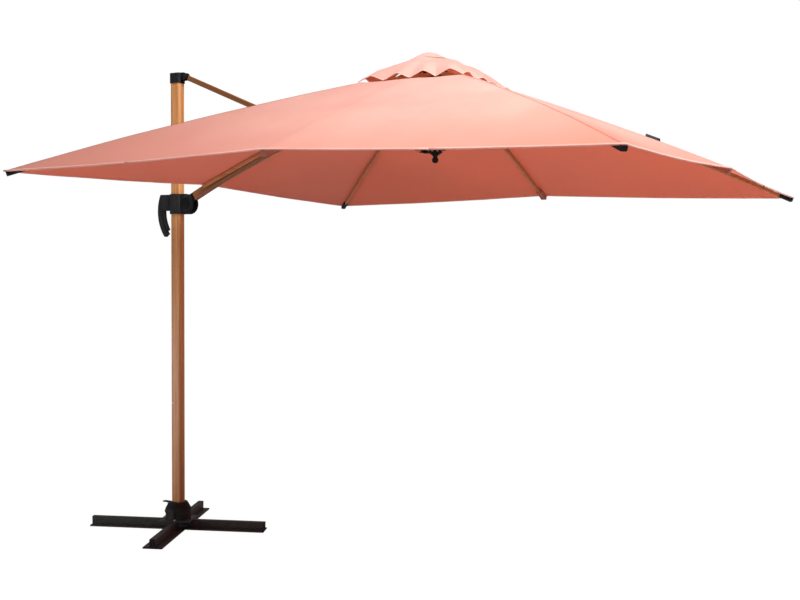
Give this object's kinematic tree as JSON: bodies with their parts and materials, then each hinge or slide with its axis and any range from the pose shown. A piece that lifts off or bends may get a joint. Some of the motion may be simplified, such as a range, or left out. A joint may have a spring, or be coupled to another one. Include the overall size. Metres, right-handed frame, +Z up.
{
  "type": "cantilever parasol",
  "caption": "Square side-post parasol on a cross base: turning mast, sliding handle carriage, strut-braced arched arm and ribbed canopy with a raised vent.",
  "frame": {"origin": "on the mast's axis, at floor level", "axes": "+X from the mast towards the middle of the canopy, +Z up"},
  "size_m": [3.629, 2.9224, 2.641],
  "materials": {
    "black_steel": "satin powder coat",
    "cast_black": "satin paint",
    "zinc_steel": "zinc plated",
    "black_plastic": "moulded, fine texture",
    "liner_plastic": "smooth",
    "wood_look_aluminium": "wood-grain film, satin",
    "rib_aluminium": "wood-brown coat, satin",
    "terracotta_cloth": "woven polyester"
  },
  "bodies": {
    "base": {"cross_beam_long": "black_steel", "cross_beam_front": "black_steel", "cross_beam_back": "black_steel", "beam_end_caps": "black_plastic", "base_plate": "black_steel", "plate_bolts": "zinc_steel", "pivot_housing": "cast_black", "pedal_pin": "zinc_steel"},
    "pedal": {"foot_pedal": "black_plastic"},
    "knob": {"clamp_knob": "black_plastic"},
    "mast": {"turn_sleeve": "cast_black", "mast_tube": "wood_look_aluminium", "rear_stop": "black_plastic", "top_cap": "black_plastic"},
    "carriage": {"carriage_shell": "black_plastic", "carriage_liner": "liner_plastic", "handle_grip": "black_plastic"},
    "lever": {"squeeze_lever": "black_plastic"},
    "strut": {"strut_tube": "wood_look_aluminium", "strut_fittings": "black_plastic"},
    "arm": {"arm_tube": "wood_look_aluminium", "arm_foot": "black_plastic", "arm_tip": "black_plastic", "arm_saddle": "black_plastic"},
    "hub": {"upper_hub": "black_plastic"},
    "runner": {"lower_hub": "black_plastic"},
    "rib_1": {"rib_1": "rib_aluminium", "rib_fittings_1": "black_plastic", "canopy_gore_1": "terracotta_cloth"},
    "stretcher_1": {"stretcher_1": "rib_aluminium"},
    "rib_2": {"rib_2": "rib_aluminium", "rib_fittings_2": "black_plastic", "canopy_gore_2": "terracotta_cloth"},
    "stretcher_2": {"stretcher_2": "rib_aluminium"},
    "rib_3": {"rib_3": "rib_aluminium", "rib_fittings_3": "black_plastic", "canopy_gore_3": "terracotta_cloth"},
    "stretcher_3": {"stretcher_3": "rib_aluminium"},
    "rib_4": {"rib_4": "rib_aluminium", "rib_fittings_4": "black_plastic", "canopy_gore_4": "terracotta_cloth"},
    "stretcher_4": {"stretcher_4": "rib_aluminium"},
    "rib_5": {"rib_5": "rib_aluminium", "rib_fittings_5": "black_plastic", "canopy_gore_5": "terracotta_cloth"},
    "stretcher_5": {"stretcher_5": "rib_aluminium"},
    "rib_6": {"rib_6": "rib_aluminium", "rib_fittings_6": "black_plastic", "canopy_gore_6": "terracotta_cloth"},
    "stretcher_6": {"stretcher_6": "rib_aluminium"},
    "rib_7": {"rib_7": "rib_aluminium", "rib_fittings_7": "black_plastic", "canopy_gore_7": "terracotta_cloth"},
    "stretcher_7": {"stretcher_7": "rib_aluminium"},
    "rib_8": {"rib_8": "rib_aluminium", "rib_fittings_8": "black_plastic", "canopy_gore_8": "terracotta_cloth"},
    "stretcher_8": {"stretcher_8": "rib_aluminium"}
  },
  "joints": [
    {"name": "mast_spin", "type": "hinge", "parent": "base", "child": "mast", "pos_m": [0, 0, 0.15], "axis": [0, 0, 1], "continuous": true},
    {"name": "pedal_press", "type": "hinge", "parent": "base", "child": "pedal", "pos_m": [-0.064, 0, 0.142], "axis": [0, -1, 0], "range_deg": [0, 12], "stiffness_Nm_per_rad": 0.6, "springref_deg": -20.05},
    {"name": "knob_turn", "type": "hinge", "parent": "base", "child": "knob", "pos_m": [-0.08, 0, 0.092], "axis": [-1, 0, 0], "range_deg": [-360, 0]},
    {"name": "arm_fold", "type": "hinge", "parent": "mast", "child": "strut", "pos_m": [0.056, 0, 2.62], "axis": [0, 1, 0], "range_deg": [0, 59]},
    {"name": "arm_turn", "type": "hinge", "parent": "strut", "child": "arm", "pos_m": [0.82086, 0, 2.30885], "axis": [0, 1, 0], "range_deg": [-115.91, 0.5]},
    {"name": "hub_level", "type": "hinge", "parent": "arm", "child": "hub", "pos_m": [1.57, 0, 2.535], "axis": [0, 1, 0], "range_deg": [-0.5, 56.91]},
    {"name": "carriage_slide", "type": "slide", "parent": "mast", "child": "carriage", "axis": [0, 0, 1], "range_m": [-0.93795, 0.002]},
    {"name": "lever_squeeze", "type": "hinge", "parent": "carriage", "child": "lever", "pos_m": [-0.093, 0, 1.906], "axis": [0, 1, 0], "range_deg": [0, 1.6], "stiffness_Nm_per_rad": 3, "springref_deg": -2.86},
    {"name": "canopy_fold", "type": "slide", "parent": "hub", "child": "runner", "axis": [0, 0, -1], "range_m": [0, 0.702]},
    {"name": "rib_1_fold", "type": "hinge", "parent": "hub", "child": "rib_1", "pos_m": [1.715, 0, 2.518], "axis": [0, 1, 0], "range_deg": [-0.5, 66.58], "deforming": ["canopy_gore_1"]},
    {"name": "stretcher_1_fold", "type": "hinge", "parent": "rib_1", "child": "stretcher_1", "pos_m": [2.21234, 0, 2.32204], "axis": [0, 1, 0], "range_deg": [-132.82, 0.5]},
    {"name": "rib_2_fold", "type": "hinge", "parent": "hub", "child": "rib_2", "pos_m": [1.70182, 0.03182, 2.518], "axis": [-0.7071, 0.7071, 0], "range_deg": [-0.5, 71.31], "deforming": ["canopy_gore_2"]},
    {"name": "stretcher_2_fold", "type": "hinge", "parent": "rib_2", "child": "stretcher_2", "pos_m": [2.0527, 0.3827, 2.37645], "axis": [-0.7071, 0.7071, 0], "range_deg": [-131.77, 0.5]},
    {"name": "rib_3_fold", "type": "hinge", "parent": "hub", "child": "rib_3", "pos_m": [1.67, 0.045, 2.518], "axis": [-1, 0, 0], "range_deg": [-0.5, 66.58], "deforming": ["canopy_gore_3"]},
    {"name": "stretcher_3_fold", "type": "hinge", "parent": "rib_3", "child": "stretcher_3", "pos_m": [1.67, 0.54234, 2.32204], "axis": [-1, 0, 0], "range_deg": [-132.82, 0.5]},
    {"name": "rib_4_fold", "type": "hinge", "parent": "hub", "child": "rib_4", "pos_m": [1.63818, 0.03182, 2.518], "axis": [-0.7071, -0.7071, 0], "range_deg": [-0.5, 71.31], "deforming": ["canopy_gore_4"]},
    {"name": "stretcher_4_fold", "type": "hinge", "parent": "rib_4", "child": "stretcher_4", "pos_m": [1.2873, 0.3827, 2.37645], "axis": [-0.7071, -0.7071, 0], "range_deg": [-131.77, 0.5]},
    {"name": "rib_5_fold", "type": "hinge", "parent": "hub", "child": "rib_5", "pos_m": [1.585, 0, 2.518], "axis": [0, -1, 0], "range_deg": [-0.5, 66.04], "deforming": ["canopy_gore_5"]},
    {"name": "stretcher_5_fold", "type": "hinge", "parent": "rib_5", "child": "stretcher_5", "pos_m": [1.08776, 0, 2.31678], "axis": [0, -1, 0], "range_deg": [-132.74, 0.5]},
    {"name": "rib_6_fold", "type": "hinge", "parent": "hub", "child": "rib_6", "pos_m": [1.63818, -0.03182, 2.518], "axis": [0.7071, -0.7071, 0], "range_deg": [-0.5, 71.31], "deforming": ["canopy_gore_6"]},
    {"name": "stretcher_6_fold", "type": "hinge", "parent": "rib_6", "child": "stretcher_6", "pos_m": [1.2873, -0.3827, 2.37645], "axis": [0.7071, -0.7071, 0], "range_deg": [-131.77, 0.5]},
    {"name": "rib_7_fold", "type": "hinge", "parent": "hub", "child": "rib_7", "pos_m": [1.67, -0.045, 2.518], "axis": [1, 0, 0], "range_deg": [-0.5, 66.58], "deforming": ["canopy_gore_7"]},
    {"name": "stretcher_7_fold", "type": "hinge", "parent": "rib_7", "child": "stretcher_7", "pos_m": [1.67, -0.54234, 2.32204], "axis": [1, 0, 0], "range_deg": [-132.82, 0.5]},
    {"name": "rib_8_fold", "type": "hinge", "parent": "hub", "child": "rib_8", "pos_m": [1.70182, -0.03182, 2.518], "axis": [0.7071, 0.7071, 0], "range_deg": [-0.5, 71.31], "deforming": ["canopy_gore_8"]},
    {"name": "stretcher_8_fold", "type": "hinge", "parent": "rib_8", "child": "stretcher_8", "pos_m": [2.0527, -0.3827, 2.37645], "axis": [0.7071, 0.7071, 0], "range_deg": [-131.77, 0.5]}
  ],
  "couplings": [
    {"joint": "arm_turn", "follows": "arm_fold", "ratio": -1.9561},
    {"joint": "hub_level", "follows": "arm_fold", "ratio": 0.9561},
    {"joint": "carriage_slide", "follows": "arm_fold", "m_per_rad": -0.90891},
    {"joint": "rib_1_fold", "follows": "canopy_fold", "rad_per_m": 1.643},
    {"joint": "stretcher_1_fold", "follows": "canopy_fold", "rad_per_m": -3.2897},
    {"joint": "rib_2_fold", "follows": "canopy_fold", "rad_per_m": 1.7606},
    {"joint": "stretcher_2_fold", "follows": "canopy_fold", "rad_per_m": -3.2636},
    {"joint": "rib_3_fold", "follows": "canopy_fold", "rad_per_m": 1.643},
    {"joint": "stretcher_3_fold", "follows": "canopy_fold", "rad_per_m": -3.2897},
    {"joint": "rib_4_fold", "follows": "canopy_fold", "rad_per_m": 1.7606},
    {"joint": "stretcher_4_fold", "follows": "canopy_fold", "rad_per_m": -3.2636},
    {"joint": "rib_5_fold", "follows": "canopy_fold", "rad_per_m": 1.6294},
    {"joint": "stretcher_5_fold", "follows": "canopy_fold", "rad_per_m": -3.2878},
    {"joint": "rib_6_fold", "follows": "canopy_fold", "rad_per_m": 1.7606},
    {"joint": "stretcher_6_fold", "follows": "canopy_fold", "rad_per_m": -3.2636},
    {"joint": "rib_7_fold", "follows": "canopy_fold", "rad_per_m": 1.643},
    {"joint": "stretcher_7_fold", "follows": "canopy_fold", "rad_per_m": -3.2897},
    {"joint": "rib_8_fold", "follows": "canopy_fold", "rad_per_m": 1.7606},
    {"joint": "stretcher_8_fold", "follows": "canopy_fold", "rad_per_m": -3.2636}
  ]
}
